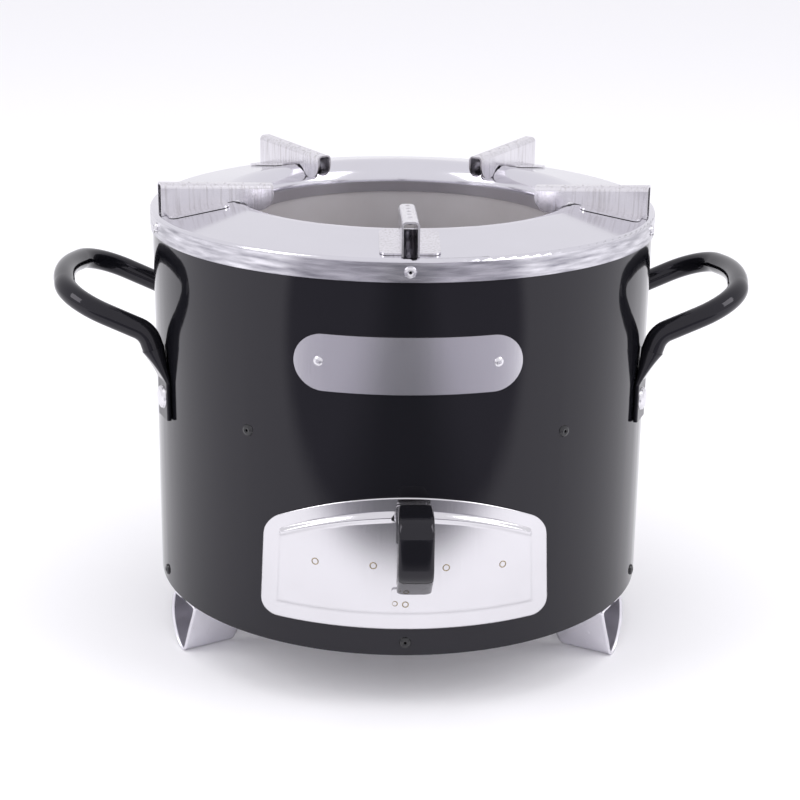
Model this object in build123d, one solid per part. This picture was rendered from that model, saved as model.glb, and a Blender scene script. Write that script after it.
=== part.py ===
from build123d import *
import math
import os

# Portable wood cook stove: a round insulated stove on three strip feet, with a pull-out ash drawer.
# Millimetres. The origin is on the floor under the stove's axis, +Z is up and the drawer faces -Y.
# An azimuth is counted from the front (-Y) towards +X, and a height named body_* is above the body's bottom.

# Driving dimensions of the whole stove
foot_height = 34.0
body_radius = 140.8
body_height = 215.2
sheet = 0.8
stainless = 1.0
seat_gap = 0.15
running_gap = 0.35
hole_gap = 0.05
tail_gap = 0.1

# Top plate: a turned-down rim, a shallow cone up to a rounded crest, and a lip down into the chamber
rim_wall_gap = 0.2
rim_depth = 12.1
rim_corner = 2.0
cone_slope = 8.5
crest_radius = 100.0
lip_round = 12.0
lip_depth = 6.0

# Fire chamber, its grate and the insulation round it
chamber_gap = 0.2
ledge_width = 18.0
grate_thickness = 6.0
grate_gap = 1.0
grate_slot_width = 6.0
grate_slot_pitch = 12.0
grate_rim = 12.0
insulation_height = 86.0
insulation_gap = 1.0

# Divider plate under the chamber and the pan that closes the bottom
divider_flange = 12.0
divider_hole_radius = 72.0
pan_flange = 15.0

# Pop rivets: rows at the rim and the bottom, and the divider's own between them
rivet_count = 5
pop_head_radius = 3.25
pop_head_height = 1.3
pop_shank_radius = 1.6
pop_mandrel_radius = 0.8
pop_tail_radius = 2.4
pop_tail_length = 3.5
pop_tail_taper = 0.8
pop_shoulder = (0.86, 0.7)
pop_crown = 0.5
pop_dip = 0.8
rim_rivet_drop = 6.8
bottom_rivet_height = 7.5
divider_rivet_height = 116.5
divider_rivet_azimuth = 36.0

# Pot supports: folded hat-section strips that stand on the cone and hook over the crest
support_count = 5
support_width = 9.0
support_fold = 2.6
support_outer_radius = 139.5
support_inner_radius = 76.8
support_outer_height = 17.9
support_inner_height = 14.0
support_tab_width = 10.8
support_tab_outer = 137.0
support_tab_inner = 104.0
support_tab_corner = 4.0
support_notch_radius = 96.5
support_notch_rise = 0.9
support_lobe_radius = 8.5
support_lobe_bottom = 0.1
support_flank_lean = 60.0
support_bump_count = 5
support_bump_pitch = 10.0
support_bump_first = 83.0
support_bump_height = 0.5
support_bump_share = 0.5

# Feet: three strips bent to a narrow V that is open outwards
foot_count = 3
foot_first_azimuth = 60.0
foot_outer_radius = 140.3
foot_strip_width = 33.0
foot_top_width = 25.0
foot_tread_width = 3.0
foot_bend = 2.2
foot_flange = 9.5
foot_inner_corner = 7.0
foot_rivet_inset = 5.8

# Side handles: a bent tube whose ends are pressed flat and riveted to the body
tube_radius = 6.0
handle_half_spacing = 52.0
handle_reach = 191.5
handle_grip_sweep = 11.0
handle_grip_round = 110.0
handle_corner_round = 28.0
handle_leg_slope = 24.0
handle_elbow_reach = 140.5
handle_elbow_height = 151.8
handle_elbow_round = 12.0
handle_tab_azimuth = 68.0
handle_press_share = 0.35
handle_press_step = 0.3
handle_press_flatness = 0.45
handle_tab_round_share = 0.45
handle_tab_top = 125.0
handle_tab_bottom = 103.6
handle_tab_thickness = 2.6
handle_tab_width = 17.4
handle_rivet_height = 115.3
dome_head_radius = 6.5
dome_head_height = 2.4
dome_shank_radius = 2.4
dome_tail_radius = 4.0
dome_tail_height = 1.5
dome_curve = [(0.92, 0.45), (0.7, 0.8), (0.4, 0.96), (0, 1)]

# Bare plate on the front of the body
plate_length = 116.6
plate_width = 30.0
plate_height = 159.7
plate_rivet_azimuth = 18.8
plate_rivet_height = 160.3
stud_head_radius = 2.6
stud_head_height = 1.2
stud_shank_radius = 1.2
stud_tail_radius = 2.0
stud_tail_height = 0.8

# Drawer front: a curved pressed plate with an arched top, a raised panel and a bead under the arch
front_bottom = 15.7
front_top = 89.5
front_shoulder = 69.5
front_half_width = 77.1
front_shoulder_half_width = 74.6
front_bottom_corner = 12.0
front_top_corner = 8.0
panel_margin = 8.0
panel_rise = 1.0
bead_drop = 8.0
bead_width = 4.6
bead_rise = 0.9
bead_end_inset = 14.0
door_margin = 12.0

# Ash tray behind the drawer front, and the runners that carry it
tray_half_width = 55.0
tray_back = 62.0
tray_bottom = 30.0
tray_height = 28.0
tray_wall = 0.8
runner_length = 170.0
runner_ledge = 9.0
runner_foot = 9.0
runner_guide = 8.0
runner_sheet = 1.2

# Drawer pull: a strap welded to the front by two tabs, in a black sleeve
strap_thickness = 1.5
strap_width = 13.0
strap_offset = 4.1
strap_round = 5.0
pull_reach = 24.5
pull_top = 85.2
pull_front_bottom = 57.0
pull_foot_top = 38.0
upper_tab_bottom = 65.0
upper_tab_left = -5.8
upper_tab_right = 10.6
lower_tab_bottom = 27.0
lower_tab_left = -7.6
lower_tab_right = 8.8
tab_corner = 1.5
sleeve_width = 18.4
sleeve_thickness = 5.4
sleeve_edge = 2.2
sleeve_gap = 0.1
sleeve_setback = 1.6

# Heights and radii that follow from them
body_bottom = foot_height
rim_top = body_bottom + body_height
rim_outer = body_radius + rim_wall_gap + stainless
cone_rise = math.tan(math.radians(cone_slope))
lip_inner_radius = crest_radius - lip_round
lip_tangent_radius = crest_radius + lip_round * math.sin(math.radians(cone_slope))
cone_start = rim_outer - rim_corner
lip_centre_height = (
    rim_top
    + (cone_start - lip_tangent_radius) * cone_rise
    - lip_round * math.cos(math.radians(cone_slope))
)
crest_height = lip_centre_height + lip_round
lip_bottom = lip_centre_height - lip_depth
shell_top = rim_top - rim_corner - seat_gap
divider_plane = body_bottom + divider_rivet_height - divider_flange / 2
chamber_inner = lip_inner_radius + stainless + chamber_gap
chamber_outer = chamber_inner + stainless
chamber_bottom = divider_plane + sheet
chamber_top = lip_centre_height
front_inner = body_radius + running_gap
panel_outer = front_inner + sheet + panel_rise
reach = 2.0 * rim_outer
drill_length = 60.0
nearly_half = 0.49


def cone_height(radius):
    """Height of the top plate's upper face at a distance from the axis, on its cone."""
    return rim_top + (cone_start - radius) * cone_rise


def turned(part, azimuth):
    """Turns a part that was made at the front round the stove's axis."""
    return Rot(0, 0, azimuth) * part


def ring(inner, outer, low, high):
    """A plain ring about the stove's axis between two heights."""
    profile = Polyline((inner, 0, low), (outer, 0, low), (outer, 0, high), (inner, 0, high), close=True)
    return revolve(make_face(profile), Axis.Z)


def front_hole(radius, height):
    """A drill at the front of the stove, square to its wall."""
    return Pos(0, -body_radius, height) * Rot(90, 0, 0) * Cylinder(radius, drill_length)


def revolved(points):
    """Turns a rivet's outline of (radius, distance outwards) about +Z."""
    return revolve(make_face(Polyline(*[(r, 0, z) for r, z in points], close=True)), Axis.Z)


def on_wall(rivet, seat, height):
    """Puts a rivet in the wall at the front, with its head against the face at that radius."""
    return Pos(0, -seat, height) * Rot(90, 0, 0) * rivet


# Rivets: each kind is one outline of (radius, distance outwards from the face it sits on)
def pop_rivet(grip):
    """A pop rivet: domed head with its mandrel hole, a shank through the sheets and a tail inside."""
    neck = -grip
    outline = [
        (pop_mandrel_radius, neck - pop_tail_length),
        (pop_tail_radius * pop_tail_taper, neck - pop_tail_length),
        (pop_tail_radius, neck - pop_tail_length / 2),
        (pop_tail_radius, neck),
        (pop_shank_radius, neck),
        (pop_shank_radius, 0),
        (pop_head_radius, 0),
        (pop_head_radius * pop_shoulder[0], pop_head_height * pop_shoulder[1]),
        (pop_head_radius * pop_crown, pop_head_height),
        (pop_mandrel_radius, pop_head_height * pop_dip),
    ]
    return revolved(outline)


def dome_rivet(grip, head, rise, shank, tail, tail_rise):
    """A solid rivet with a low dome outside and a flat tail inside."""
    outline = [
        (0, -grip - tail_rise),
        (tail, -grip - tail_rise),
        (tail, -grip),
        (shank, -grip),
        (shank, 0),
        (head, 0),
    ]
    outline += [(head * out, rise * up) for out, up in dome_curve]
    return revolved(outline)


def row(first, count=rivet_count):
    """Even azimuths round the stove, from the first one on."""
    return [first + step * 360 / count for step in range(count)]


rim_rivet_height = rim_top - rim_rivet_drop
bottom_row_height = body_bottom + bottom_rivet_height
divider_row_height = body_bottom + divider_rivet_height
rim_row = row(0)
bottom_row = row(0)
divider_row = [divider_rivet_azimuth, 180, 360 - divider_rivet_azimuth]
stud_row = [-plate_rivet_azimuth, plate_rivet_azimuth]
handle_row = [handle_tab_azimuth, 180 - handle_tab_azimuth, 180 + handle_tab_azimuth, 360 - handle_tab_azimuth]
flange_grip = 2 * sheet + seat_gap + tail_gap
rim_grip = stainless + rim_wall_gap + sheet + tail_gap


def drill_rows(part, rows):
    """Cuts rows of rivet holes: each row is (shank radius, height, azimuths)."""
    for radius, height, azimuths in rows:
        hole = front_hole(radius + hole_gap, height)
        for azimuth in azimuths:
            part -= turned(hole, azimuth)
    return part


# Outer shell: rolled sheet with the drawer's doorway and the rivet holes
def front_outline(margin):
    """The drawer front's outline, drawn on the XZ plane and drawn in by a margin."""
    low = body_bottom + front_bottom + margin
    shoulder = body_bottom + front_shoulder - margin
    top = body_bottom + front_top - margin
    half = front_half_width - margin
    high_half = front_shoulder_half_width - margin
    sides = [
        Line((-half, 0, low), (half, 0, low)),
        Line((half, 0, low), (high_half, 0, shoulder)),
        ThreePointArc((high_half, 0, shoulder), (0, 0, top), (-high_half, 0, shoulder)),
        Line((-high_half, 0, shoulder), (-half, 0, low)),
    ]
    face = make_face(Curve() + sides)
    face = fillet(face.vertices().group_by(Axis.Z)[-1], front_top_corner)
    bottom_corner = max(front_bottom_corner - margin, front_top_corner)
    return fillet(face.vertices().group_by(Axis.Z)[0], bottom_corner)


def through_front(face):
    """A face on the XZ plane carried forwards through the front wall."""
    return extrude(face, amount=reach, dir=(0, -1, 0))


def outer_shell():
    shell = ring(body_radius - sheet, body_radius, body_bottom, shell_top)
    shell -= through_front(front_outline(door_margin))
    return drill_rows(
        shell,
        [
            (pop_shank_radius, rim_rivet_height, rim_row),
            (pop_shank_radius, bottom_row_height, bottom_row),
            (pop_shank_radius, divider_row_height, divider_row),
            (stud_shank_radius, body_bottom + plate_rivet_height, stud_row),
            (dome_shank_radius, body_bottom + handle_rivet_height, handle_row),
        ],
    )


# Top plate: one pressed ring, drawn as its section and turned
def top_plate():
    inside = rim_outer - stainless
    slope = math.radians(cone_slope)
    centre = (crest_radius, lip_centre_height)

    def on_round(radius, angle):
        return (centre[0] + radius * math.cos(angle), 0, centre[1] + radius * math.sin(angle))

    inner_round = lip_round - stainless
    start = math.pi / 2 - slope
    middle = (start + math.pi) / 2
    under_start = on_round(inner_round, start)
    under_rim = under_start[2] - (inside - under_start[0]) * cone_rise
    section = Curve() + [
        Line((rim_outer, 0, rim_top - rim_depth), (rim_outer, 0, rim_top - rim_corner)),
        ThreePointArc(
            (rim_outer, 0, rim_top - rim_corner),
            (cone_start + rim_corner * math.sin(math.pi / 4), 0, rim_top - rim_corner * (1 - math.cos(math.pi / 4))),
            (cone_start, 0, rim_top),
        ),
        Line((cone_start, 0, rim_top), on_round(lip_round, start)),
        ThreePointArc(on_round(lip_round, start), on_round(lip_round, middle), on_round(lip_round, math.pi)),
        Line(on_round(lip_round, math.pi), (lip_inner_radius, 0, lip_bottom)),
        Line((lip_inner_radius, 0, lip_bottom), (lip_inner_radius + stainless, 0, lip_bottom)),
        Line((lip_inner_radius + stainless, 0, lip_bottom), on_round(inner_round, math.pi)),
        ThreePointArc(on_round(inner_round, math.pi), on_round(inner_round, middle), under_start),
        Line(under_start, (inside, 0, under_rim)),
        Line((inside, 0, under_rim), (inside, 0, rim_top - rim_depth)),
        Line((inside, 0, rim_top - rim_depth), (rim_outer, 0, rim_top - rim_depth)),
    ]
    plate = revolve(make_face(section), Axis.Z)
    return drill_rows(plate, [(pop_shank_radius, rim_rivet_height, rim_row)])


# Fire chamber: a tube hung under the lip, with a ledge at the bottom for the grate
def fire_chamber():
    wall = ring(chamber_inner, chamber_outer, chamber_bottom, chamber_top)
    ledge = ring(chamber_inner - ledge_width, chamber_inner, chamber_bottom, chamber_bottom + stainless)
    return wall + ledge


def grate():
    """A cast disc with parallel slots inside a solid rim."""
    radius = chamber_inner - grate_gap
    low = chamber_bottom + stainless
    disc = Pos(0, 0, low) * extrude(Circle(radius), grate_thickness)
    slot_field = radius - grate_rim
    slots = int((slot_field - grate_slot_width) / grate_slot_pitch)
    for step in range(-slots, slots + 1):
        offset = step * grate_slot_pitch
        length = 2 * math.sqrt(slot_field**2 - (abs(offset) + grate_slot_width / 2) ** 2)
        slot = extrude(SlotOverall(length, grate_slot_width), grate_thickness)
        disc -= Pos(0, offset, low) * slot
    return disc


def insulation():
    """The ring of mineral fibre round the chamber, on the divider plate."""
    outer = body_radius - flange_grip - pop_tail_length - insulation_gap
    low = chamber_bottom + seat_gap
    return ring(chamber_outer + insulation_gap, outer, low, low + insulation_height)


# Divider plate and base pan: flanged discs that are riveted to the shell
def flanged_disc(hole, plane, flange):
    """A disc at a height with its rim turned up, and with a round hole where one is given."""
    outer = body_radius - sheet - seat_gap
    disc = ring(hole, outer, plane, plane + sheet)
    return disc + ring(outer - sheet, outer, plane, plane + flange)


def divider_plate():
    plate = flanged_disc(divider_hole_radius, divider_plane, divider_flange)
    return drill_rows(
        plate,
        [
            (pop_shank_radius, divider_row_height, divider_row),
            (dome_shank_radius, body_bottom + handle_rivet_height, handle_row),
        ],
    )


def base_pan():
    outer = body_radius - sheet - seat_gap
    disc = Pos(0, 0, body_bottom) * extrude(Circle(outer), sheet)
    pan = disc + ring(outer - sheet, outer, body_bottom, body_bottom + pan_flange)
    pan = drill_rows(pan, [(pop_shank_radius, bottom_row_height, bottom_row)])
    for azimuth in foot_row:
        for side in (-1, 1):
            pan -= turned(foot_rivet_place(side) * Cylinder(pop_shank_radius + hole_gap, drill_length / 2), azimuth)
    return pan


# Feet: strips bent to a V with a small flat tread and two flanges under the base pan
foot_row = row(foot_first_azimuth, foot_count)
foot_middle = foot_outer_radius - foot_strip_width / 2


def foot_rivet_place(side):
    """Where a foot's flange is riveted to the pan, for the foot at the front."""
    across = side * (foot_top_width / 2 - stainless - foot_rivet_inset)
    return Pos(across, -foot_middle, body_bottom)


def foot():
    """A foot at the front, drawn as its section square to the radius and carried inwards."""
    top = body_bottom - seat_gap
    half = foot_top_width / 2 - stainless / 2
    tread = foot_tread_width / 2 + stainless
    centre_line = FilletPolyline(
        (half - foot_flange, 0, top - stainless / 2),
        (half, 0, top - stainless / 2),
        (tread, 0, stainless / 2),
        (-tread, 0, stainless / 2),
        (-half, 0, top - stainless / 2),
        (foot_flange - half, 0, top - stainless / 2),
        radius=foot_bend,
    )
    outer_line = Pos(0, -foot_outer_radius, 0) * centre_line
    strip = extrude(thick_line(outer_line, stainless), amount=foot_strip_width, dir=(0, 1, 0))
    blank = Pos(0, -foot_middle, 0) * Rot(0, 90, 0) * Box(2 * foot_height, foot_strip_width, foot_top_width * 2)
    inner = blank.edges().filter_by(Axis.X).group_by(Axis.Y)[-1].group_by(Axis.Z)[0]
    strip &= fillet(inner, foot_inner_corner)
    for side in (-1, 1):
        strip -= foot_rivet_place(side) * Cylinder(pop_shank_radius + hole_gap, 4 * stainless)
    return strip


def foot_rivet(side):
    """A pop rivet up through a foot's flange and the pan, with its head below."""
    below_pan = stainless + seat_gap
    return foot_rivet_place(side) * Pos(0, 0, -below_pan) * Rot(180, 0, 0) * pop_rivet(below_pan + sheet)


def thick_line(line, thickness):
    """The face of a bent strip whose centre line is drawn on a plane of constant Y."""
    plane = Plane(origin=line @ 0, x_dir=(1, 0, 0), z_dir=(0, -1, 0))
    flat = plane.to_local_coords(line)
    return plane * trace(flat, thickness)


# Pot supports: a folded strip that stands on the cone, with welded tabs and a lobe inside the crest
def support_foot_height(radius):
    """Height of the tabs' underside over the cone."""
    return cone_height(radius) + seat_gap


def pot_support():
    """The support at the front: an upside-down U along the radius, cut to its side view."""
    outer_top = rim_top + support_outer_height
    inner_top = rim_top + support_inner_height
    run = support_outer_radius - support_inner_radius
    fall = math.atan2(outer_top - inner_top, run)
    tall = 2 * support_outer_height
    section = Rectangle(support_width, tall, align=(Align.CENTER, Align.MAX))
    section = fillet(section.vertices().group_by(Axis.Y)[-1], support_fold)
    inside = Pos(0, -stainless) * Rectangle(
        support_width - 2 * stainless, tall, align=(Align.CENTER, Align.MAX)
    )
    inside = fillet(inside.vertices().group_by(Axis.Y)[-1], support_fold - stainless)
    inwards = (0, math.cos(fall), -math.sin(fall))
    start = Plane(origin=(0, -support_outer_radius, outer_top), x_dir=(-1, 0, 0), z_dir=inwards)
    channel = start * Pos(0, 0, -tall) * extrude(section - inside, amount=run + 2 * tall)
    channel = channel & through_side(support_profile(outer_top, inner_top), support_width)
    for side in (-1, 1):
        channel += support_tab(side)
    for step in range(support_bump_count):
        radius = support_bump_first + step * support_bump_pitch
        top = inner_top + (radius - support_inner_radius) * (outer_top - inner_top) / run
        channel += support_bump(radius, top)
    return channel


def through_side(face, width):
    """A face on the YZ plane carried out to both sides."""
    return extrude(face, amount=width, both=True)


def support_profile(outer_top, inner_top):
    """The side view of a support as a face on the YZ plane, with the notch over the crest."""
    def at(radius, height):
        return (0, -radius, height)

    lobe_centre = (support_inner_radius + support_lobe_radius, rim_top + support_lobe_bottom + support_lobe_radius)
    notch_height = crest_height + support_notch_rise
    lean = math.radians(support_flank_lean)
    flank = at(
        lobe_centre[0] + support_lobe_radius * math.sin(lean),
        lobe_centre[1] - support_lobe_radius * math.cos(lean),
    )
    edge = [
        Line(at(support_outer_radius, support_foot_height(support_outer_radius)), at(support_outer_radius, outer_top + 1)),
        Line(at(support_outer_radius, outer_top + 1), at(support_inner_radius, outer_top + 1)),
        Line(at(support_inner_radius, outer_top + 1), at(support_inner_radius, lobe_centre[1])),
        ThreePointArc(
            at(support_inner_radius, lobe_centre[1]),
            at(lobe_centre[0], lobe_centre[1] - support_lobe_radius),
            flank,
        ),
        Line(flank, at(support_notch_radius, notch_height)),
        Line(at(support_notch_radius, notch_height), at(support_tab_inner, support_foot_height(support_tab_inner))),
        Line(
            at(support_tab_inner, support_foot_height(support_tab_inner)),
            at(support_outer_radius, support_foot_height(support_outer_radius)),
        ),
    ]
    return make_face(Curve() + edge)


def support_tab(side):
    """A welded tab: a plate with rounded corners that lies along the cone beside the wall."""
    length = (support_tab_outer - support_tab_inner) / math.cos(math.radians(cone_slope))
    width = support_tab_width + stainless
    plate = Rectangle(width, length)
    outside = plate.vertices().group_by(Axis.X)[-1 if side > 0 else 0]
    plate = extrude(fillet(outside, support_tab_corner), stainless)
    middle = (support_tab_outer + support_tab_inner) / 2
    across = side * (support_width / 2 - stainless + width / 2)
    lift = support_foot_height(middle)
    return Pos(across, -middle, lift) * Rot(cone_slope, 0, 0) * plate


def support_bump(radius, top):
    """A pressed bump across the top of a support, which keeps a pot from sliding."""
    ball = support_width / 2
    bump = Pos(0, -radius, top + support_bump_height - ball / 2) * scale(Sphere(ball / 2), (1, support_bump_share, 1))
    return bump


# Side handles
def side_handle():
    """The right handle: a tube bent in a sloping loop, each end pressed flat against the body."""
    slope = math.radians(handle_leg_slope)

    def sloping(reach_out, across):
        rise = (reach_out - handle_elbow_reach) * math.tan(slope)
        return (reach_out, across, body_bottom + handle_elbow_height + rise)

    spread = handle_half_spacing
    sweep = math.radians(handle_grip_sweep)
    apex = handle_reach + handle_grip_round * (1 / math.cos(sweep) - 1)
    corner = apex - spread * math.tan(sweep)
    path = FilletPolyline(
        handle_press_start(-1),
        sloping(handle_elbow_reach, -spread),
        sloping(corner, -spread),
        sloping(apex, 0),
        sloping(corner, spread),
        sloping(handle_elbow_reach, spread),
        handle_press_start(1),
        radius=[
            handle_elbow_round,
            handle_corner_round,
            handle_grip_round,
            handle_corner_round,
            handle_elbow_round,
        ],
    )
    tube = swept_tube(path, tube_radius)
    for side in (-1, 1):
        tube += handle_end(side)
    return tube


def tab_frame(height):
    """The plane of the pressed end's section at a height: X along the wall, Y outwards."""
    azimuth = math.radians(handle_tab_azimuth)
    outwards = (math.sin(azimuth), -math.cos(azimuth), 0)
    along = (-outwards[1], outwards[0], 0)
    out = body_radius + seat_gap + handle_tab_thickness / 2
    return Plane(origin=(outwards[0] * out, outwards[1] * out, height), x_dir=along, z_dir=(0, 0, 1))


def handle_press_start(side):
    """Where the round tube ends and the pressed end begins, below the elbow."""
    elbow = Vector(handle_elbow_reach, side * handle_half_spacing, body_bottom + handle_elbow_height)
    tab = tab_frame(body_bottom + handle_tab_top).origin
    tab = Vector(tab.X, -side * tab.Y, tab.Z)
    return elbow + (tab - elbow) * handle_press_share


def swept_tube(path, radius):
    return sweep(Plane(origin=path @ 0, z_dir=path % 0) * Circle(radius), path)


def handle_end(side):
    """A pressed end: a loft from the round tube to a flat tab, with the rivet's hole."""
    top = body_bottom + handle_tab_top
    bottom = body_bottom + handle_tab_bottom
    start = handle_press_start(-1)
    elbow = Vector(handle_elbow_reach, -handle_half_spacing, body_bottom + handle_elbow_height)
    flat = tab_frame(top)
    up_tube = (elbow - start).normalized()
    round_plane = Plane(origin=start + up_tube * handle_press_step, x_dir=flat.x_dir, z_dir=up_tube)
    middle = Plane(origin=(start + flat.origin) / 2, x_dir=flat.x_dir, z_dir=up_tube + Vector(0, 0, 1))
    press_width = (2 * tube_radius + handle_tab_width) / 2
    press_thickness = (2 * tube_radius + handle_tab_thickness) * handle_press_flatness
    round_size = 2 * (tube_radius + handle_press_step)
    full = round_plane * RectangleRounded(round_size, round_size, round_size * nearly_half)
    half = middle * RectangleRounded(press_width, press_thickness, press_thickness * nearly_half)
    thin_round = handle_tab_thickness * handle_tab_round_share
    thin = flat * RectangleRounded(handle_tab_width, handle_tab_thickness, thin_round)
    end = loft([full, half, thin])
    tab = extrude(thin, amount=top - bottom, dir=(0, 0, -1))
    end += tab
    end -= turned(front_hole(dome_shank_radius + hole_gap, body_bottom + handle_rivet_height), handle_tab_azimuth)
    if side > 0:
        end = mirror(end, Plane.XZ)
    return end


# Bare plate on the body
def wall_band(inner, outer):
    """A tube about the axis that is as tall as the body."""
    return ring(inner, outer, body_bottom, rim_top)


def name_plate():
    """A curved plate with round ends, held by two small studs."""
    inner = body_radius + seat_gap
    face = Pos(0, 0, body_bottom + plate_height) * Rot(90, 0, 0) * SlotOverall(plate_length, plate_width)
    plate = wall_band(inner, inner + sheet) & extrude(face, amount=reach, dir=(0, -1, 0))
    plate = drill_rows(plate, [(stud_shank_radius, body_bottom + plate_rivet_height, stud_row)])
    return plate


# Drawer front
def drawer_front():
    """The pressed front: a flat border, a raised panel and a bead that follows the arch."""
    back = front_inner
    middle = panel_outer - sheet
    border = wall_band(back, back + sheet) & through_front(front_outline(0))
    outside = through_front(front_outline(panel_margin))
    inside = through_front(front_outline(panel_margin + sheet))
    panel = wall_band(back, panel_outer) & outside
    hollow = wall_band(back - sheet, middle) & inside
    front = border + panel - hollow
    return front + panel_bead()


def arch(drop, half, side=1):
    """The three points of an arc that runs below the front's arch, out to a half width."""
    shoulder = body_bottom + front_shoulder
    top = body_bottom + front_top
    rise = (top - shoulder) * (half / front_shoulder_half_width) ** 2
    return [(-half * side, 0, top - drop - rise), (0, 0, top - drop), (half * side, 0, top - drop - rise)]


def panel_bead():
    """A bead along the arch, left open where the pull's upper tab is welded."""
    half = front_shoulder_half_width - bead_end_inset
    upper = arch(bead_drop, half)
    lower = arch(bead_drop + bead_width, half)
    face = make_face(
        Curve()
        + [
            ThreePointArc(*upper),
            Line(upper[2], lower[2]),
            ThreePointArc(*lower[::-1]),
            Line(lower[0], upper[0]),
        ]
    )
    bead = wall_band(panel_outer - sheet / 2, panel_outer + bead_rise) & through_front(face)
    gap_width = upper_tab_right - upper_tab_left + 2 * tab_corner
    gap_middle = (upper_tab_right + upper_tab_left) / 2
    gap = Pos(gap_middle, -panel_outer - bead_rise, body_bottom + front_top) * Box(
        gap_width, 4 * bead_rise, front_top, align=(Align.CENTER, Align.CENTER, Align.CENTER)
    )
    return bead - gap


# Ash tray: an open box whose front wall is curved to sit behind the drawer front
def tray_block(half, back, radius, low, high):
    box = Box(2 * half, back + reach, high - low, align=(Align.CENTER, Align.MAX, Align.MIN))
    return (Pos(0, back, low) * box) & ring(0, radius, low, high)


def ash_tray():
    low = body_bottom + tray_bottom
    outer = tray_block(tray_half_width, tray_back, front_inner, low, low + tray_height)
    inner = tray_block(
        tray_half_width - tray_wall,
        tray_back - tray_wall,
        front_inner - tray_wall,
        low + tray_wall,
        low + 2 * tray_height,
    )
    return outer - inner


def runner(side):
    """A folded runner on the pan: a foot flange, a web, a ledge under the tray and a guide beside it."""
    gap = running_gap
    ledge_top = body_bottom + tray_bottom - gap
    floor = body_bottom + sheet
    web = tray_half_width + gap
    back = tray_back
    front = back - runner_length
    half_sheet = runner_sheet / 2
    line = FilletPolyline(
        (web - runner_ledge, 0, ledge_top - half_sheet),
        (web + half_sheet, 0, ledge_top - half_sheet),
        (web + half_sheet, 0, floor + half_sheet),
        (web + half_sheet + runner_foot, 0, floor + half_sheet),
        radius=runner_sheet,
    )
    strip = extrude(thick_line(Pos(0, front, 0) * line, runner_sheet), amount=runner_length, dir=(0, 1, 0))
    guide = Box(
        runner_sheet, runner_length, runner_guide + runner_sheet, align=(Align.MIN, Align.MIN, Align.MIN)
    )
    strip += Pos(web, front, ledge_top - 2 * runner_sheet) * guide
    return strip if side > 0 else mirror(strip, Plane.YZ)


# Drawer pull
def pull_line():
    """The strap's centre line in side view, from the lower tab to the upper one."""
    seat = -panel_outer - strap_thickness / 2
    out = seat - pull_reach
    return [
        (0, seat, body_bottom + pull_foot_top),
        (0, out, body_bottom + pull_front_bottom),
        (0, out, body_bottom + pull_top),
        (0, seat, body_bottom + pull_top),
    ]


def pull_strip(points, thickness, width, middle, rounds):
    """A bent strip: the centre line made thick and carried to both sides."""
    line = FilletPolyline(*points, radius=rounds)
    plane = Plane(origin=(0, points[0][1], points[0][2]), x_dir=(0, 1, 0), z_dir=(1, 0, 0))
    flat = plane.to_local_coords(line)
    face = plane * trace(flat, thickness)
    return Pos(middle, 0, 0) * extrude(face, amount=width / 2, both=True)


def strap_tab(left, right, low, high):
    width = right - left
    plate = Rectangle(width, high - low)
    plate = extrude(fillet(plate.vertices(), tab_corner), strap_thickness)
    return Pos((left + right) / 2, -panel_outer, (low + high) / 2) * Rot(90, 0, 0) * plate


def pull_strap():
    points = pull_line()
    strap = pull_strip(points, strap_thickness, strap_width, strap_offset, [strap_round, strap_round])
    low = body_bottom + lower_tab_bottom
    upper_low = body_bottom + upper_tab_bottom
    half = strap_thickness / 2
    strap += strap_tab(lower_tab_left, lower_tab_right, low, points[0][2] + strap_thickness)
    strap += strap_tab(upper_tab_left, upper_tab_right, upper_low, points[3][2] + half)
    return strap


def pull_sleeve():
    """The black sleeve round the strap, with its edges rounded off."""
    points = pull_line()
    seat = points[0][1] - sleeve_setback - strap_thickness
    share = (seat - points[0][1]) / (points[1][1] - points[0][1])
    low = points[0][2] + (points[1][2] - points[0][2]) * share
    points = [(0, seat, low), points[1], points[2], (0, seat, points[3][2])]
    rounds = [strap_round, strap_round]
    sleeve = pull_strip(points, sleeve_thickness, sleeve_width, strap_offset, rounds)
    sides = sleeve.faces().sort_by(Axis.X)
    sleeve = fillet(sides[0].edges() + sides[-1].edges(), sleeve_edge)
    gap = 2 * sleeve_gap
    return sleeve - pull_strip(pull_line(), strap_thickness + gap, strap_width + gap, strap_offset, rounds)


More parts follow.
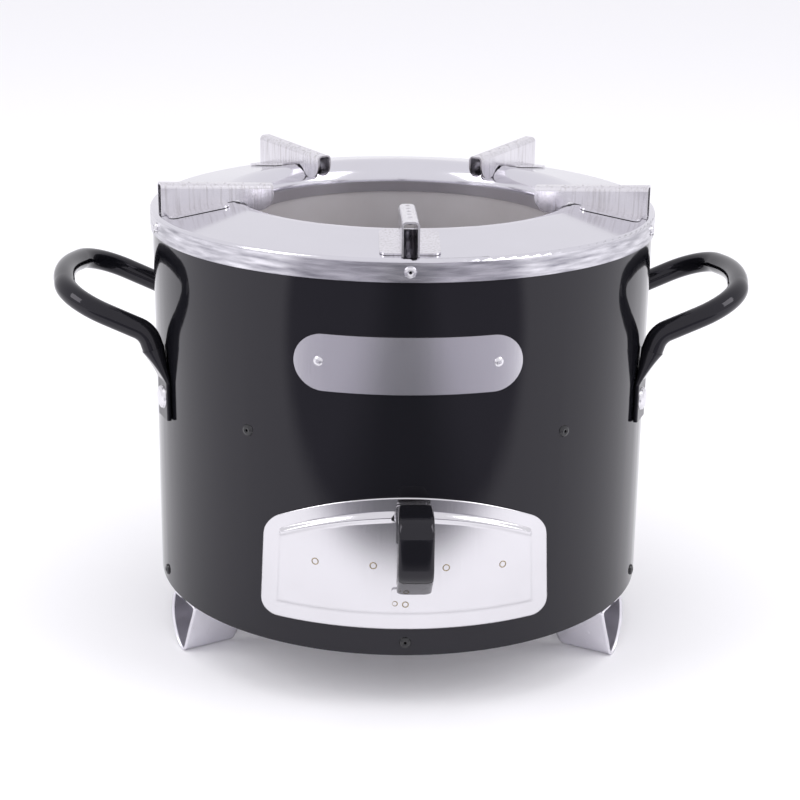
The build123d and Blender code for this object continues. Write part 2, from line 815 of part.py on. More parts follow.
# Every piece by its name, in its place
def pieces():
    made = {
        "outer_shell": outer_shell(),
        "top_plate": top_plate(),
        "fire_chamber": fire_chamber(),
        "grate": grate(),
        "insulation": insulation(),
        "divider_plate": divider_plate(),
        "base_pan": base_pan(),
        "name_plate": name_plate(),
        "drawer_front": drawer_front(),
        "ash_tray": ash_tray(),
        "runner_right": runner(1),
        "runner_left": runner(-1),
        "pull_strap": pull_strap(),
        "pull_sleeve": pull_sleeve(),
    }
    made["side_handle_right"] = side_handle()
    made["side_handle_left"] = mirror(made["side_handle_right"], Plane.YZ)
    made.update(numbered("pot_support", pot_support(), row(0, support_count)))
    made.update(numbered("foot", foot(), foot_row))
    rim = on_wall(pop_rivet(rim_grip), rim_outer, rim_rivet_height)
    made.update(numbered("rim_rivet", rim, rim_row))
    low = pop_rivet(flange_grip)
    made.update(numbered("bottom_rivet", on_wall(low, body_radius, bottom_row_height), bottom_row))
    made.update(numbered("divider_rivet", on_wall(low, body_radius, divider_row_height), divider_row))
    stud = dome_rivet(
        flange_grip, stud_head_radius, stud_head_height, stud_shank_radius, stud_tail_radius, stud_tail_height
    )
    stud = on_wall(stud, body_radius + seat_gap + sheet, body_bottom + plate_rivet_height)
    made.update(numbered("plate_stud", stud, stud_row))
    dome = dome_rivet(
        handle_tab_thickness + seat_gap + flange_grip,
        dome_head_radius,
        dome_head_height,
        dome_shank_radius,
        dome_tail_radius,
        dome_tail_height,
    )
    seat = body_radius + seat_gap + handle_tab_thickness
    dome = on_wall(dome, seat, body_bottom + handle_rivet_height)
    made.update(numbered("handle_rivet", dome, handle_row))
    for side, word in ((-1, "a"), (1, "b")):
        made.update(numbered("foot_rivet_" + word, foot_rivet(side), foot_row))
    return made


def numbered(name, part, azimuths):
    """Copies of a part round the stove, numbered from 1."""
    return {name + "_" + str(place + 1): turned(part, azimuth) for place, azimuth in enumerate(azimuths)}


os.makedirs("parts", exist_ok=True)
for node, part in pieces().items():
    export_step(part, os.path.join("parts", node + ".step"))
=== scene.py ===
import bpy, bmesh, math
from mathutils import Matrix, Vector


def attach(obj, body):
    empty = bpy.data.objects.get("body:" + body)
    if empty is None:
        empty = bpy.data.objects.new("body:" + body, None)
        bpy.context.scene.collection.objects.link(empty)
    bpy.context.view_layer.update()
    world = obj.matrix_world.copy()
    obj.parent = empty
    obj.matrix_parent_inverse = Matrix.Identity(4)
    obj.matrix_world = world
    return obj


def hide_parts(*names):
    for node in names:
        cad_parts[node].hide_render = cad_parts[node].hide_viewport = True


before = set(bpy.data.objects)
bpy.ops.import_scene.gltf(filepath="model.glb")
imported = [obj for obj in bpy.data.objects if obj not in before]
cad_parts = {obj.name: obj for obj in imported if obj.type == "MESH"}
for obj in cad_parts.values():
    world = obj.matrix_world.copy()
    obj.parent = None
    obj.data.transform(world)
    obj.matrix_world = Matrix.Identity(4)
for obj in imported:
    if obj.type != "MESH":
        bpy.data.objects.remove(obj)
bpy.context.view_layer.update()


# Camera. It stands a metre in front of the stove at table height, a little to the left, and looks
# down on the open top. Lens, place and tilt were worked out from the rim and the foot of the photo.
camera_place = Vector((-0.0307, -1.0043, 0.4553))
camera_ahead = Vector((0.0305, 0.9995, 0.0))
camera_pitch = math.radians(17.92)
camera_roll = math.radians(0.745)
camera_sensor = 36.0
camera_focal = 80.96
upright = Vector((0, 0, 1))
ahead = camera_ahead * math.cos(camera_pitch) - upright * math.sin(camera_pitch)
right = camera_ahead.cross(upright).normalized()
up = right.cross(ahead)
camera_x = right * math.cos(camera_roll) + up * math.sin(camera_roll)
camera_y = up * math.cos(camera_roll) - right * math.sin(camera_roll)
camera_turn = Matrix((camera_x, camera_y, -ahead)).transposed().to_4x4()
lens = bpy.data.cameras.new("camera")
lens.sensor_fit = "HORIZONTAL"
lens.sensor_width = camera_sensor
lens.lens = camera_focal
lens.clip_start = 0.01
camera = bpy.data.objects.new("camera", lens)
camera.matrix_world = Matrix.Translation(camera_place) @ camera_turn
bpy.context.scene.collection.objects.link(camera)
bpy.context.scene.camera = camera


# Studio. A wide white sweep under the stove, an even pale room round it, and three soft boxes:
# a large one overhead and a tall one at each side. A dark card lies on the floor before the stove,
# out of the picture; it is hidden from the camera, from diffuse light and from shadows, and is a
# painted reflection that darkens the middle of the enamel and of the drawer.
def soft_box(name, place, target, width, height, power):
    """A rectangular soft box that shines from one point towards another."""
    data = bpy.data.lights.new(name, "AREA")
    data.shape = "RECTANGLE"
    data.size = width
    data.size_y = height
    data.energy = power
    data.color = (1.0, 0.985, 1.0)
    box = bpy.data.objects.new(name, data)
    aim = Vector(target) - Vector(place)
    box.rotation_euler = aim.to_track_quat("-Z", "Y").to_euler()
    box.location = place
    bpy.context.scene.collection.objects.link(box)
    return box


room = bpy.data.worlds.new("pale_room")
room.use_nodes = True
room.node_tree.nodes["Background"].inputs["Color"].default_value = (0.97, 0.96, 1.0, 1.0)
room.node_tree.nodes["Background"].inputs["Strength"].default_value = 1.0
bpy.context.scene.world = room
bpy.context.scene.view_settings.view_transform = "Standard"
overhead = soft_box(
    "overhead_box", place=(0.0, -0.2, 2.2), target=(0.0, 0.0, 0.1), width=1.8, height=1.8, power=9.0
)
overhead.visible_glossy = False
for name, side in (("left_box", -1.5), ("right_box", 1.5)):
    soft_box(name, place=(side, -0.7, 1.3), target=(0.0, 0.0, 0.15), width=0.8, height=1.2, power=10.0)

paper_white = (0.93, 0.93, 0.94, 1.0)
sweep_half_width = 9.0
sweep = bmesh.new()
bmesh.ops.create_grid(sweep, x_segments=1, y_segments=1, size=sweep_half_width)
sweep_mesh = bpy.data.meshes.new("floor")
sweep.to_mesh(sweep_mesh)
sweep.free()
floor = bpy.data.objects.new("floor", sweep_mesh)
bpy.context.scene.collection.objects.link(floor)
paper = bpy.data.materials.new("white_paper")
paper.use_nodes = True
paper_shader = paper.node_tree.nodes["Principled BSDF"]
paper_shader.inputs["Base Color"].default_value = paper_white
paper_shader.inputs["Roughness"].default_value = 0.9
paper_shader.inputs["Specular IOR Level"].default_value = 0.1
floor.data.materials.append(paper)

card_middle = -0.98
card_half_width = 1.0
card_half_depth = 0.69
card_side_spare = 1.2
card_near_spare = 0.05
card_lift = 0.001
card_size = (card_half_width * card_side_spare, card_half_depth * (1 + card_near_spare), 1.0)
card_place = (0.0, card_middle - card_half_depth * card_near_spare, card_lift)
card_build = bmesh.new()
bmesh.ops.create_grid(card_build, x_segments=1, y_segments=1, size=1.0)
bmesh.ops.scale(card_build, vec=card_size, verts=card_build.verts)
bmesh.ops.translate(card_build, vec=card_place, verts=card_build.verts)
card_mesh = bpy.data.meshes.new("dark_card")
card_build.to_mesh(card_mesh)
card_build.free()
card = bpy.data.objects.new("dark_card", card_mesh)
bpy.context.scene.collection.objects.link(card)
card.visible_camera = False
card.visible_diffuse = False
card.visible_shadow = False
# Painted reflection: the card is seen only in reflections. Its tone is darkest down its middle, greyer
# towards its sides and fades to paper white at its edge, to shape the dark band that the enamel and the
# drawer reflect.
felt = bpy.data.materials.new("painted_reflection_dark")
felt.use_nodes = True
felt_nodes = felt.node_tree.nodes
felt_links = felt.node_tree.links
felt_shader = felt_nodes["Principled BSDF"]
felt_shader.inputs["Roughness"].default_value = 0.9
felt_place = felt_nodes.new("ShaderNodeTexCoord")
felt_centre = felt_nodes.new("ShaderNodeMapping")
felt_centre.vector_type = "TEXTURE"
felt_centre.inputs["Location"].default_value = (0.0, card_middle, 0.0)
felt_centre.inputs["Scale"].default_value = (card_half_width, card_half_depth, 1.0)
felt_links.new(felt_place.outputs["Object"], felt_centre.inputs["Vector"])
felt_reach = felt_nodes.new("ShaderNodeVectorMath")
felt_reach.operation = "LENGTH"
felt_links.new(felt_centre.outputs["Vector"], felt_reach.inputs[0])
felt_fade = felt_nodes.new("ShaderNodeMapRange")
felt_fade.interpolation_type = "SMOOTHSTEP"
felt_fade.inputs["From Min"].default_value = 0.84
felt_fade.inputs["From Max"].default_value = 0.97
felt_links.new(felt_reach.outputs["Value"], felt_fade.inputs["Value"])
felt_tone = felt_nodes.new("ShaderNodeMix")
felt_tone.data_type = "RGBA"
felt_side = felt_nodes.new("ShaderNodeSeparateXYZ")
felt_links.new(felt_place.outputs["Object"], felt_side.inputs["Vector"])
felt_far = felt_nodes.new("ShaderNodeMath")
felt_far.operation = "ABSOLUTE"
felt_links.new(felt_side.outputs["X"], felt_far.inputs[0])
felt_core = felt_nodes.new("ShaderNodeMapRange")
felt_core.interpolation_type = "SMOOTHSTEP"
felt_core.inputs["From Min"].default_value = 0.05
felt_core.inputs["From Max"].default_value = 0.30
felt_links.new(felt_far.outputs["Value"], felt_core.inputs["Value"])
reflection_shade_grey = felt_nodes.new("ShaderNodeMix")
reflection_shade_grey.data_type = "RGBA"
reflection_shade_grey.inputs["A"].default_value = (0.09, 0.09, 0.10, 1.0)
reflection_shade_grey.inputs["B"].default_value = (0.30, 0.29, 0.33, 1.0)
felt_links.new(felt_core.outputs["Result"], reflection_shade_grey.inputs["Factor"])
felt_links.new(reflection_shade_grey.outputs["Result"], felt_tone.inputs["A"])
felt_tone.inputs["B"].default_value = paper_white
felt_links.new(felt_fade.outputs["Result"], felt_tone.inputs["Factor"])
felt_links.new(felt_tone.outputs["Result"], felt_shader.inputs["Base Color"])
card.data.materials.append(felt)


# Feet, their rivets and the base pan. Satin stainless strip bent round a small nose to a leaning V,
# with its ends turned flat and riveted up into the pan; the pan and the parts hidden above it are
# cut from the same bright sheet.
def metal_finish(name, colour, worn_colour, rough, rough_spread, grain, fine_scale, fine_height, metal=1.0):
    """A sheet finish: cloudy colour, uneven gloss and fine grain, all by noise in the object's space.
    The grain's three numbers stretch the noise, so a small one draws it out along that axis."""
    material = bpy.data.materials.new(name)
    material.use_nodes = True
    nodes = material.node_tree.nodes
    links = material.node_tree.links
    shader = nodes["Principled BSDF"]
    shader.inputs["Metallic"].default_value = metal
    place = nodes.new("ShaderNodeTexCoord")
    stretch = nodes.new("ShaderNodeMapping")
    stretch.inputs["Scale"].default_value = grain
    links.new(place.outputs["Object"], stretch.inputs["Vector"])
    fine = nodes.new("ShaderNodeTexNoise")
    fine.inputs["Scale"].default_value = fine_scale
    fine.inputs["Detail"].default_value = 4.0
    links.new(stretch.outputs["Vector"], fine.inputs["Vector"])
    cloud = nodes.new("ShaderNodeTexNoise")
    cloud.inputs["Scale"].default_value = 28.0
    cloud.inputs["Detail"].default_value = 5.0
    links.new(place.outputs["Object"], cloud.inputs["Vector"])
    tone = nodes.new("ShaderNodeMix")
    tone.data_type = "RGBA"
    tone.inputs["A"].default_value = (*colour, 1.0)
    tone.inputs["B"].default_value = (*worn_colour, 1.0)
    links.new(cloud.outputs["Fac"], tone.inputs["Factor"])
    links.new(tone.outputs["Result"], shader.inputs["Base Color"])
    gloss = nodes.new("ShaderNodeMapRange")
    gloss.inputs["To Min"].default_value = max(rough - rough_spread, 0.02)
    gloss.inputs["To Max"].default_value = rough + rough_spread
    links.new(fine.outputs["Fac"], gloss.inputs["Value"])
    links.new(gloss.outputs["Result"], shader.inputs["Roughness"])
    relief = nodes.new("ShaderNodeBump")
    relief.inputs["Distance"].default_value = fine_height
    relief.inputs["Strength"].default_value = 0.5
    links.new(fine.outputs["Fac"], relief.inputs["Height"])
    links.new(relief.outputs["Normal"], shader.inputs["Normal"])
    return material


def dress(material, *names):
    """Gives a finish to carried-over pieces, in every one of their material slots."""
    for name in names:
        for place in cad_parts[name].material_slots:
            place.material = material


def numbered(name, count):
    return [f"{name}_{number}" for number in range(1, count + 1)]


def metres(millimetres):
    return millimetres / 1000


def finished(name, build, material, body):
    """Turns a bmesh into a named piece with its finish, riding on its body."""
    mesh = bpy.data.meshes.new(name)
    build.to_mesh(mesh)
    build.free()
    for face in mesh.polygons:
        face.use_smooth = True
    piece = bpy.data.objects.new(name, mesh)
    bpy.context.scene.collection.objects.link(piece)
    piece.data.materials.append(material)
    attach(piece, body)
    return piece


foot_steel = metal_finish(
    "foot_steel", colour=(0.88, 0.87, 0.92), worn_colour=(0.80, 0.78, 0.83),
    rough=0.30, rough_spread=0.06, grain=(1, 1, 1), fine_scale=900, fine_height=0.00004,
)
pan_steel = metal_finish(
    "pan_steel", colour=(0.62, 0.61, 0.63), worn_colour=(0.50, 0.49, 0.50),
    rough=0.34, rough_spread=0.08, grain=(1, 1, 1), fine_scale=600, fine_height=0.00005,
)
rivet_aluminium = metal_finish(
    "rivet_aluminium", colour=(0.80, 0.79, 0.82), worn_colour=(0.70, 0.69, 0.72),
    rough=0.26, rough_spread=0.08, grain=(1, 1, 1), fine_scale=1500, fine_height=0.00003,
)

foot_line = [
    (-3.5, 33.3), (-9.0, 33.3), (-13.4, 33.2), (-14.0, 31.5), (-11.0, 25.5), (-6.0, 15.5), (-0.8, 4.2),
    (0.6, 1.6), (2.4, 0.6), (5.4, 1.3), (10.0, 4.4), (14.4, 11.0), (16.2, 19.0), (14.6, 27.0),
    (12.6, 32.0), (11.4, 33.2), (7.0, 33.3), (2.6, 33.3),
]
foot_outer = 140.3
foot_inner = 107.3
foot_corner = 7.0
foot_thickness = 1.0
foot_cuts = 4
foot_smoothing = 2
foot_places = {"foot_1": (60.0, 1, -3.0), "foot_2": (180.0, 1, 0.0), "foot_3": (300.0, -1, 4.0)}
for node, (azimuth, lean, shift) in foot_places.items():
    strip = bmesh.new()
    rail = []
    for across, height in foot_line:
        place = (metres(lean * (across + shift)), metres(-foot_outer), metres(height))
        rail.append(strip.verts.new(place))
    edges = [strip.edges.new(pair) for pair in zip(rail, rail[1:])]
    grown = bmesh.ops.extrude_edge_only(strip, edges=edges)["geom"]
    for vert in [piece for piece in grown if isinstance(piece, bmesh.types.BMVert)]:
        low = max(foot_corner - vert.co.z * 1000, 0.0)
        cut = foot_corner - math.sqrt(foot_corner ** 2 - min(low, foot_corner) ** 2)
        vert.co.y = metres(-foot_inner - cut)
    half_strip = metres(foot_outer - foot_inner) / 2
    crossing = [edge for edge in strip.edges if abs(edge.verts[0].co.y - edge.verts[1].co.y) > half_strip]
    bmesh.ops.subdivide_edges(strip, edges=crossing, cuts=foot_cuts)
    bmesh.ops.recalc_face_normals(strip, faces=strip.faces)
    turn = Matrix.Rotation(math.radians(azimuth), 3, "Z")
    bmesh.ops.rotate(strip, cent=(0, 0, 0), matrix=turn, verts=strip.verts)
    foot = finished(node + "_strip", strip, foot_steel, "stove")
    smooth = foot.modifiers.new("smooth", "SUBSURF")
    smooth.levels = foot_smoothing
    smooth.render_levels = foot_smoothing
    smooth.boundary_smooth = "PRESERVE_CORNERS"
    wall = foot.modifiers.new("wall", "SOLIDIFY")
    wall.thickness = metres(foot_thickness)
    wall.offset = 0.0
    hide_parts(node)
dress(pan_steel, "base_pan", "divider_plate", "runner_left", "runner_right")
dress(rivet_aluminium, *numbered("foot_rivet_a", 3), *numbered("foot_rivet_b", 3))


# Outer shell. Rolled sheet in gloss black enamel, a deep mirror with the faint orange peel of a
# fired coat. The rivets that hold it to the pan, divider and rim are domed and satin.
enamel = bpy.data.materials.new("black_enamel_gloss")
enamel.use_nodes = True
enamel_nodes = enamel.node_tree.nodes
enamel_links = enamel.node_tree.links
enamel_shader = enamel_nodes["Principled BSDF"]
enamel_shader.inputs["Base Color"].default_value = (0.006, 0.006, 0.008, 1.0)
enamel_shader.inputs["IOR"].default_value = 1.42
enamel_shader.inputs["Specular Tint"].default_value = (0.95, 0.92, 1.0, 1.0)
enamel_place = enamel_nodes.new("ShaderNodeTexCoord")
enamel_peel = enamel_nodes.new("ShaderNodeTexNoise")
enamel_peel.inputs["Scale"].default_value = 160.0
enamel_peel.inputs["Detail"].default_value = 2.0
enamel_links.new(enamel_place.outputs["Object"], enamel_peel.inputs["Vector"])
enamel_bump = enamel_nodes.new("ShaderNodeBump")
enamel_bump.inputs["Distance"].default_value = 0.00003
enamel_bump.inputs["Strength"].default_value = 0.35
enamel_links.new(enamel_peel.outputs["Fac"], enamel_bump.inputs["Height"])
enamel_links.new(enamel_bump.outputs["Normal"], enamel_shader.inputs["Normal"])
enamel_haze = enamel_nodes.new("ShaderNodeTexNoise")
enamel_haze.inputs["Scale"].default_value = 35.0
enamel_haze.inputs["Detail"].default_value = 6.0
enamel_links.new(enamel_place.outputs["Object"], enamel_haze.inputs["Vector"])
enamel_gloss = enamel_nodes.new("ShaderNodeMapRange")
enamel_gloss.inputs["From Min"].default_value = 0.35
enamel_gloss.inputs["From Max"].default_value = 0.75
enamel_gloss.inputs["To Min"].default_value = 0.05
enamel_gloss.inputs["To Max"].default_value = 0.11
enamel_links.new(enamel_haze.outputs["Fac"], enamel_gloss.inputs["Value"])
enamel_links.new(enamel_gloss.outputs["Result"], enamel_shader.inputs["Roughness"])
dress(enamel, "outer_shell")
black_rivet = metal_finish(
    "black_rivet", colour=(0.010, 0.010, 0.012), worn_colour=(0.02, 0.02, 0.022),
    rough=0.20, rough_spread=0.05, grain=(1, 1, 1), fine_scale=900, fine_height=0.00003, metal=0.0,
)
dress(black_rivet, *numbered("bottom_rivet", 5), *numbered("divider_rivet", 3))


# Fire chamber, grate and the packing round it. The chamber is dull steel that heat has browned,
# the grate is cast iron with its sand-cast skin, and the packing is pale mineral fibre.
chamber_steel = metal_finish(
    "chamber_steel", colour=(0.76, 0.74, 0.76), worn_colour=(0.62, 0.59, 0.59),
    rough=0.42, rough_spread=0.07, grain=(1, 1, 0.2), fine_scale=500, fine_height=0.00005, metal=0.6,
)
cast_iron = metal_finish(
    "cast_iron", colour=(0.055, 0.053, 0.055), worn_colour=(0.03, 0.028, 0.028),
    rough=0.72, rough_spread=0.12, grain=(1, 1, 1), fine_scale=700, fine_height=0.0004, metal=0.4,
)
mineral_fibre = metal_finish(
    "mineral_fibre", colour=(0.62, 0.58, 0.50), worn_colour=(0.48, 0.44, 0.36),
    rough=0.95, rough_spread=0.04, grain=(1, 1, 6), fine_scale=260, fine_height=0.0012, metal=0.0,
)
dress(chamber_steel, "fire_chamber")
dress(cast_iron, "grate")
dress(mineral_fibre, "insulation")


# Top plate. One pressed ring of bright stainless: a turned-down rim with faint rolling streaks, a
# shallow cone, a rounded crest and a lip into the chamber. The rim is painted far darker than the
# cone though it is the same steel: partly its rolling streaks, partly painted reflection of the dark
# surroundings it faces. Pop rivets with their mandrel holes fasten the rim.
lid_steel = metal_finish(
    "lid_steel", colour=(0.70, 0.69, 0.74), worn_colour=(0.66, 0.65, 0.69),
    rough=0.14, rough_spread=0.03, grain=(1, 1, 1), fine_scale=700, fine_height=0.00001,
)
lid_nodes = lid_steel.node_tree.nodes
lid_links = lid_steel.node_tree.links
lid_shader = lid_nodes["Principled BSDF"]
lid_place = lid_nodes.new("ShaderNodeTexCoord")
lid_height = lid_nodes.new("ShaderNodeSeparateXYZ")
lid_links.new(lid_place.outputs["Object"], lid_height.inputs["Vector"])
rim_mask = lid_nodes.new("ShaderNodeMapRange")
rim_mask.inputs["From Min"].default_value = 0.2478
rim_mask.inputs["From Max"].default_value = 0.2468
lid_links.new(lid_height.outputs["Z"], rim_mask.inputs["Value"])
lid_flat = lid_nodes.new("ShaderNodeMapping")
lid_flat.inputs["Scale"].default_value = (1.0, 1.0, 0.0)
lid_links.new(lid_place.outputs["Object"], lid_flat.inputs["Vector"])
lid_reach = lid_nodes.new("ShaderNodeVectorMath")
lid_reach.operation = "LENGTH"
lid_links.new(lid_flat.outputs["Vector"], lid_reach.inputs[0])
outside_mask = lid_nodes.new("ShaderNodeMath")
outside_mask.operation = "GREATER_THAN"
outside_mask.inputs[1].default_value = 0.13
lid_links.new(lid_reach.outputs["Value"], outside_mask.inputs[0])
rim_only = lid_nodes.new("ShaderNodeMath")
rim_only.operation = "MULTIPLY"
lid_links.new(rim_mask.outputs["Result"], rim_only.inputs[0])
lid_links.new(outside_mask.outputs["Value"], rim_only.inputs[1])
rim_streak_place = lid_nodes.new("ShaderNodeMapping")
rim_streak_place.inputs["Scale"].default_value = (1.0, 1.0, 9.0)
lid_links.new(lid_place.outputs["Object"], rim_streak_place.inputs["Vector"])
rim_streak = lid_nodes.new("ShaderNodeTexNoise")
rim_streak.inputs["Scale"].default_value = 45.0
rim_streak.inputs["Detail"].default_value = 5.0
lid_links.new(rim_streak_place.outputs["Vector"], rim_streak.inputs["Vector"])
# Painted reflection: the rim's streaks run between a dark grey and a light one, so the rim as a whole is
# darker than the cone's steel. The streaks are the rolling marks; the darkness stands for the dark
# surroundings the rim reflects.
rim_streak_and_reflection_tone = lid_nodes.new("ShaderNodeMix")
rim_streak_and_reflection_tone.data_type = "RGBA"
rim_streak_and_reflection_tone.inputs["A"].default_value = (0.27, 0.265, 0.30, 1.0)
rim_streak_and_reflection_tone.inputs["B"].default_value = (0.78, 0.77, 0.81, 1.0)
rim_cloud = lid_nodes.new("ShaderNodeMapRange")
rim_cloud.inputs["From Min"].default_value = 0.30
rim_cloud.inputs["From Max"].default_value = 0.72
lid_links.new(rim_streak.outputs["Fac"], rim_cloud.inputs["Value"])
lid_links.new(rim_cloud.outputs["Result"], rim_streak_and_reflection_tone.inputs["Factor"])
lid_tone = lid_nodes.new("ShaderNodeMix")
lid_tone.data_type = "RGBA"
lid_links.new(rim_only.outputs["Value"], lid_tone.inputs["Factor"])
lid_links.new(lid_shader.inputs["Base Color"].links[0].from_socket, lid_tone.inputs["A"])
lid_links.new(rim_streak_and_reflection_tone.outputs["Result"], lid_tone.inputs["B"])
lid_links.new(lid_tone.outputs["Result"], lid_shader.inputs["Base Color"])
# The rim is duller than the cone, so the rim's mask sets the gloss here.
lid_gloss = lid_nodes.new("ShaderNodeMapRange")
lid_gloss.inputs["To Min"].default_value = 0.14
lid_gloss.inputs["To Max"].default_value = 0.24
lid_links.new(rim_only.outputs["Value"], lid_gloss.inputs["Value"])
lid_links.new(lid_gloss.outputs["Result"], lid_shader.inputs["Roughness"])
dress(lid_steel, "top_plate")
dress(rivet_aluminium, *numbered("rim_rivet", 5))


# Pot supports. Folded stainless strips on the cone with welded tabs; the walls keep the upright
# draw marks of the press, a little darker than the sheet.
support_steel = metal_finish(
    "support_steel", colour=(0.84, 0.83, 0.86), worn_colour=(0.66, 0.64, 0.68),
    rough=0.22, rough_spread=0.08, grain=(1, 1, 0.06), fine_scale=700, fine_height=0.0001,
)
support_nodes = support_steel.node_tree.nodes
support_links = support_steel.node_tree.links
support_shader = support_nodes["Principled BSDF"]
draw_place = support_nodes.new("ShaderNodeTexCoord")
draw_stretch = support_nodes.new("ShaderNodeMapping")
draw_stretch.inputs["Scale"].default_value = (1.0, 1.0, 0.05)
support_links.new(draw_place.outputs["Object"], draw_stretch.inputs["Vector"])
draw_mark = support_nodes.new("ShaderNodeTexNoise")
draw_mark.inputs["Scale"].default_value = 800.0
draw_mark.inputs["Detail"].default_value = 3.0
support_links.new(draw_stretch.outputs["Vector"], draw_mark.inputs["Vector"])
draw_depth = support_nodes.new("ShaderNodeMapRange")
draw_depth.inputs["From Min"].default_value = 0.48
draw_depth.inputs["From Max"].default_value = 0.72
draw_depth.inputs["To Max"].default_value = 0.5
support_links.new(draw_mark.outputs["Fac"], draw_depth.inputs["Value"])
draw_tone = support_nodes.new("ShaderNodeMix")
draw_tone.data_type = "RGBA"
draw_tone.inputs["B"].default_value = (0.44, 0.42, 0.42, 1.0)
support_links.new(draw_depth.outputs["Result"], draw_tone.inputs["Factor"])
support_links.new(support_shader.inputs["Base Color"].links[0].from_socket, draw_tone.inputs["A"])
support_links.new(draw_tone.outputs["Result"], support_shader.inputs["Base Color"])
dress(support_steel, *numbered("pot_support", 5))


# Side handles. Bent steel tube in the same black enamel, with its ends pressed flat to lie on the
# body. A domed aluminium rivet through each end holds it to the wall.
dress(enamel, "side_handle_left", "side_handle_right")
dress(rivet_aluminium, *numbered("handle_rivet", 4))


# Bare plate. Brushed stainless with round ends, curved to the body. It is held by two small
# aluminium studs through the wall.
plate_steel = metal_finish(
    "plate_steel", colour=(0.74, 0.73, 0.77), worn_colour=(0.64, 0.63, 0.66),
    rough=0.22, rough_spread=0.04, grain=(1, 1, 0.03), fine_scale=1600, fine_height=0.000015,
)
dress(plate_steel, "name_plate")
dress(rivet_aluminium, *numbered("plate_stud", 2))


# Drawer front and tray. The front is bright plated sheet, brushed up and down and curved to the
# body, with a raised panel and a bead under its arched top that stops on both sides of the pull.
# The tray behind it is plain plated sheet.
drawer_steel = metal_finish(
    "drawer_steel", colour=(0.73, 0.72, 0.75), worn_colour=(0.64, 0.63, 0.65),
    rough=0.15, rough_spread=0.04, grain=(1, 1, 0.02), fine_scale=1600, fine_height=0.000015,
)
border_radius = 141.95
panel_rise = 1.0
panel_margin = 8.0
panel_slope = 2.2
bead_drop = 10.2
bead_half_width = 2.4
bead_rise = 0.9
bead_flatness = 1.6
bead_fade = 3.0
bead_gap = (-5.4, 10.2)
bead_gap_fade = 2.0
front_low = 49.7
front_shoulder = 103.5
front_peak = 123.5
low_half_width = 77.1
high_half_width = 74.6
low_corner = 9.0
high_corner = 8.0
front_thickness = 0.8
front_columns = 168
front_rows = 96
edge_crowding = 0.35
arch_rise = front_peak - front_shoulder
arch_radius = (high_half_width ** 2 + arch_rise ** 2) / (2 * arch_rise)


def corner_cut(across, half_width, radius):
    """How far a rounded corner takes the edge in, at a distance from the drawer front's middle."""
    beyond = max(abs(across) - (half_width - radius), 0.0)
    return radius - math.sqrt(max(radius ** 2 - min(beyond, radius) ** 2, 0.0))


def smooth_step(share):
    """Rises softly from 0 to 1 as its share does, and stays level beyond them."""
    share = min(max(share, 0.0), 1.0)
    return share * share * (3 - 2 * share)


front = bmesh.new()
bmesh.ops.create_grid(front, x_segments=front_columns, y_segments=front_rows, size=1.0)
for vert in front.verts:
    share = math.sin(vert.co.x * math.pi / 2) * edge_crowding + vert.co.x * (1 - edge_crowding)
    across = share * high_half_width
    arch = front_peak - arch_radius + math.sqrt(arch_radius ** 2 - across ** 2)
    top = arch - corner_cut(across, high_half_width, high_corner)
    bottom = front_low + corner_cut(across, high_half_width, low_corner)
    height = bottom + (top - bottom) * (vert.co.y + 1) / 2
    way_up = (height - front_low) / (front_shoulder - front_low)
    half_width = low_half_width + (high_half_width - low_half_width) * way_up
    sideways = share * half_width
    from_side = half_width - abs(sideways)
    inside = min(from_side, height - front_low, arch - height) - panel_margin
    lift = panel_rise * smooth_step(inside / panel_slope)
    off_bead = abs(arch - height - bead_drop) / bead_half_width
    from_pull = max(bead_gap[0] - sideways, sideways - bead_gap[1])
    bead_end = smooth_step((from_side - panel_margin) / bead_fade) * smooth_step(from_pull / bead_gap_fade)
    lift += bead_rise * bead_end * smooth_step((1 - off_bead) * bead_flatness)
    around = math.asin(sideways / border_radius)
    out = border_radius + lift
    vert.co = (metres(out * math.sin(around)), metres(-out * math.cos(around)), metres(height))
bmesh.ops.recalc_face_normals(front, faces=front.faces)
if sum(face.normal.y for face in front.faces) > 0:
    bmesh.ops.reverse_faces(front, faces=front.faces)
front_sheet = finished("pressed_front", front, drawer_steel, "ash_drawer")
front_wall = front_sheet.modifiers.new("wall", "SOLIDIFY")
front_wall.thickness = metres(front_thickness)
front_wall.offset = -1.0
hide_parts("drawer_front")
dress(pan_steel, "ash_tray")


# Pull. A bent steel strap whose tabs lie on the drawer front, in a thick gloss black sleeve with
# rounded edges that follows its bends and leaves only the tabs bare.
sleeve_path = [(-146.8, 74.4), (-168.2, 91.0), (-168.2, 119.2), (-146.8, 119.2)]
sleeve_bend = 9.0
sleeve_steps = 9
sleeve_middle = 4.1
sleeve_half_width = 9.2
sleeve_half_thickness = 2.7
sleeve_side_power = 0.42
sleeve_face_power = 0.62
sleeve_points = 24
sleeve_edge = 0.4


def bent_line(points, radius, steps, edge):
    """The places and directions along a line of straight runs whose corners are rounded,
    with one more place a short way in from each end."""
    line = []
    for before, corner, after in zip(points, points[1:], points[2:]):
        arrive = (corner - before).normalized()
        leave = (after - corner).normalized()
        turn = arrive.angle_signed(leave)
        back = radius * math.tan(abs(turn) / 2)
        start = corner - arrive * back
        side = Vector((-arrive.y, arrive.x)) * (-1 if turn > 0 else 1)
        for step in range(steps + 1):
            part = abs(turn) * step / steps
            place = start + arrive * radius * math.sin(part) + side * radius * (1 - math.cos(part))
            heading = arrive * math.cos(part) + side * math.sin(part)
            line.append((place, heading))
    first = (points[1] - points[0]).normalized()
    last = (points[-1] - points[-2]).normalized()
    starts = [(points[0], first), (points[0] + first * edge, first)]
    ends = [(points[-1] - last * edge, last), (points[-1], last)]
    return starts + line + ends


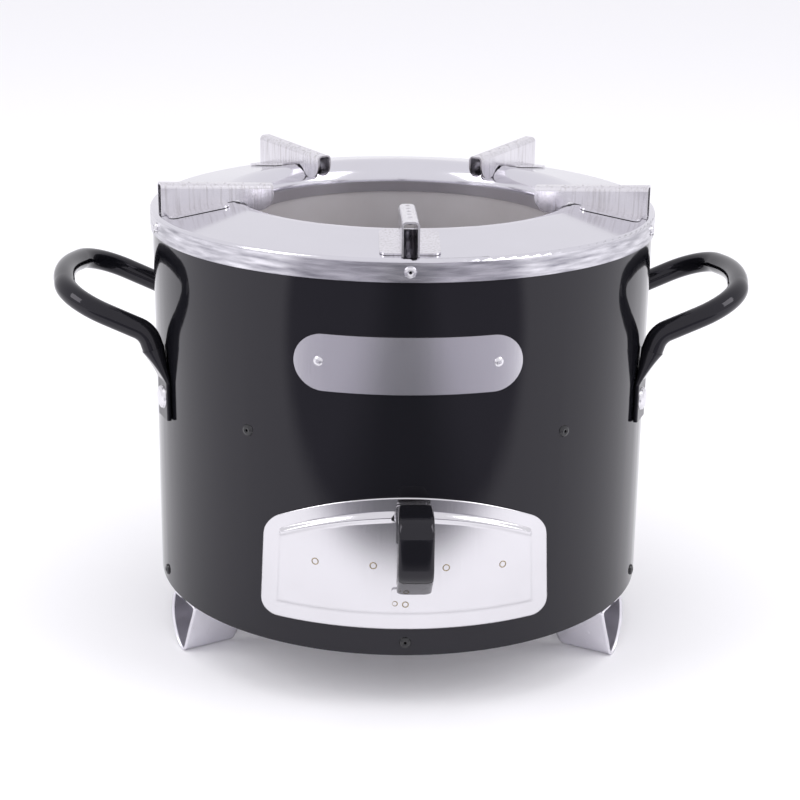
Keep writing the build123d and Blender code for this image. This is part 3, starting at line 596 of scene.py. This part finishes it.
sleeve = bmesh.new()
before = []
sleeve_corners = [Vector(point) for point in sleeve_path]
for place, heading in bent_line(sleeve_corners, sleeve_bend, sleeve_steps, sleeve_edge):
    ring = bmesh.ops.create_circle(sleeve, cap_ends=False, segments=sleeve_points, radius=1.0)["verts"]
    edges = list({edge for vert in ring for edge in vert.link_edges})
    for vert in ring:
        wide = math.copysign(abs(vert.co.x) ** sleeve_side_power, vert.co.x) * sleeve_half_width
        thick = math.copysign(abs(vert.co.y) ** sleeve_face_power, vert.co.y) * sleeve_half_thickness
        vert.co = (
            metres(sleeve_middle + wide),
            metres(place.x - heading.y * thick),
            metres(place.y + heading.x * thick),
        )
    if before:
        bmesh.ops.bridge_loops(sleeve, edges=before + edges)
    before = edges
open_ends = [edge for edge in sleeve.edges if edge.is_boundary]
bmesh.ops.holes_fill(sleeve, edges=open_ends, sides=sleeve_points)
bmesh.ops.recalc_face_normals(sleeve, faces=sleeve.faces)
sleeve_cover = finished("pull_cover", sleeve, enamel, "ash_drawer")
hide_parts("pull_sleeve")
dress(drawer_steel, "pull_strap")


# Spot welds. Small raised rings that the heat has tinted straw and brown: four in a row across the
# panel and two on the pull's lower tab.
weld_gold = metal_finish(
    "weld_gold", colour=(0.50, 0.42, 0.27), worn_colour=(0.20, 0.16, 0.12),
    rough=0.30, rough_spread=0.08, grain=(1, 1, 1), fine_scale=900, fine_height=0.0001,
)
weld_ridge = 0.32
weld_flatness = 0.6
weld_sides = 8
weld_steps = 24
panel_face = 142.95
tab_face = 144.45
weld_marks = [
    (-19.4, 85.3, panel_face, 1.7), (-6.9, 85.8, panel_face, 1.7), (8.4, 84.5, panel_face, 1.7),
    (20.9, 83.2, panel_face, 1.7), (-2.3, 65.4, tab_face, 1.3), (-0.1, 64.9, tab_face, 1.5),
]
for number, (azimuth, height, face_radius, mark_radius) in enumerate(weld_marks, 1):
    mark = bmesh.new()
    section = bmesh.ops.create_circle(
        mark, cap_ends=False, segments=weld_sides, radius=metres(weld_ridge)
    )["verts"]
    bmesh.ops.translate(mark, vec=(metres(mark_radius), 0, 0), verts=section)
    bmesh.ops.spin(
        mark, geom=list(mark.verts) + list(mark.edges), cent=(0, 0, 0), axis=(0, 1, 0),
        angle=2 * math.pi, steps=weld_steps, use_merge=True,
    )
    bmesh.ops.recalc_face_normals(mark, faces=mark.faces)
    bmesh.ops.scale(mark, vec=(1.0, weld_flatness, 1.0), verts=mark.verts)
    bmesh.ops.translate(mark, vec=(0, metres(-face_radius), metres(height)), verts=mark.verts)
    turn = Matrix.Rotation(math.radians(azimuth), 3, "Z")
    bmesh.ops.rotate(mark, cent=(0, 0, 0), matrix=turn, verts=mark.verts)
    finished(f"weld_ring_{number}", mark, weld_gold, "ash_drawer")
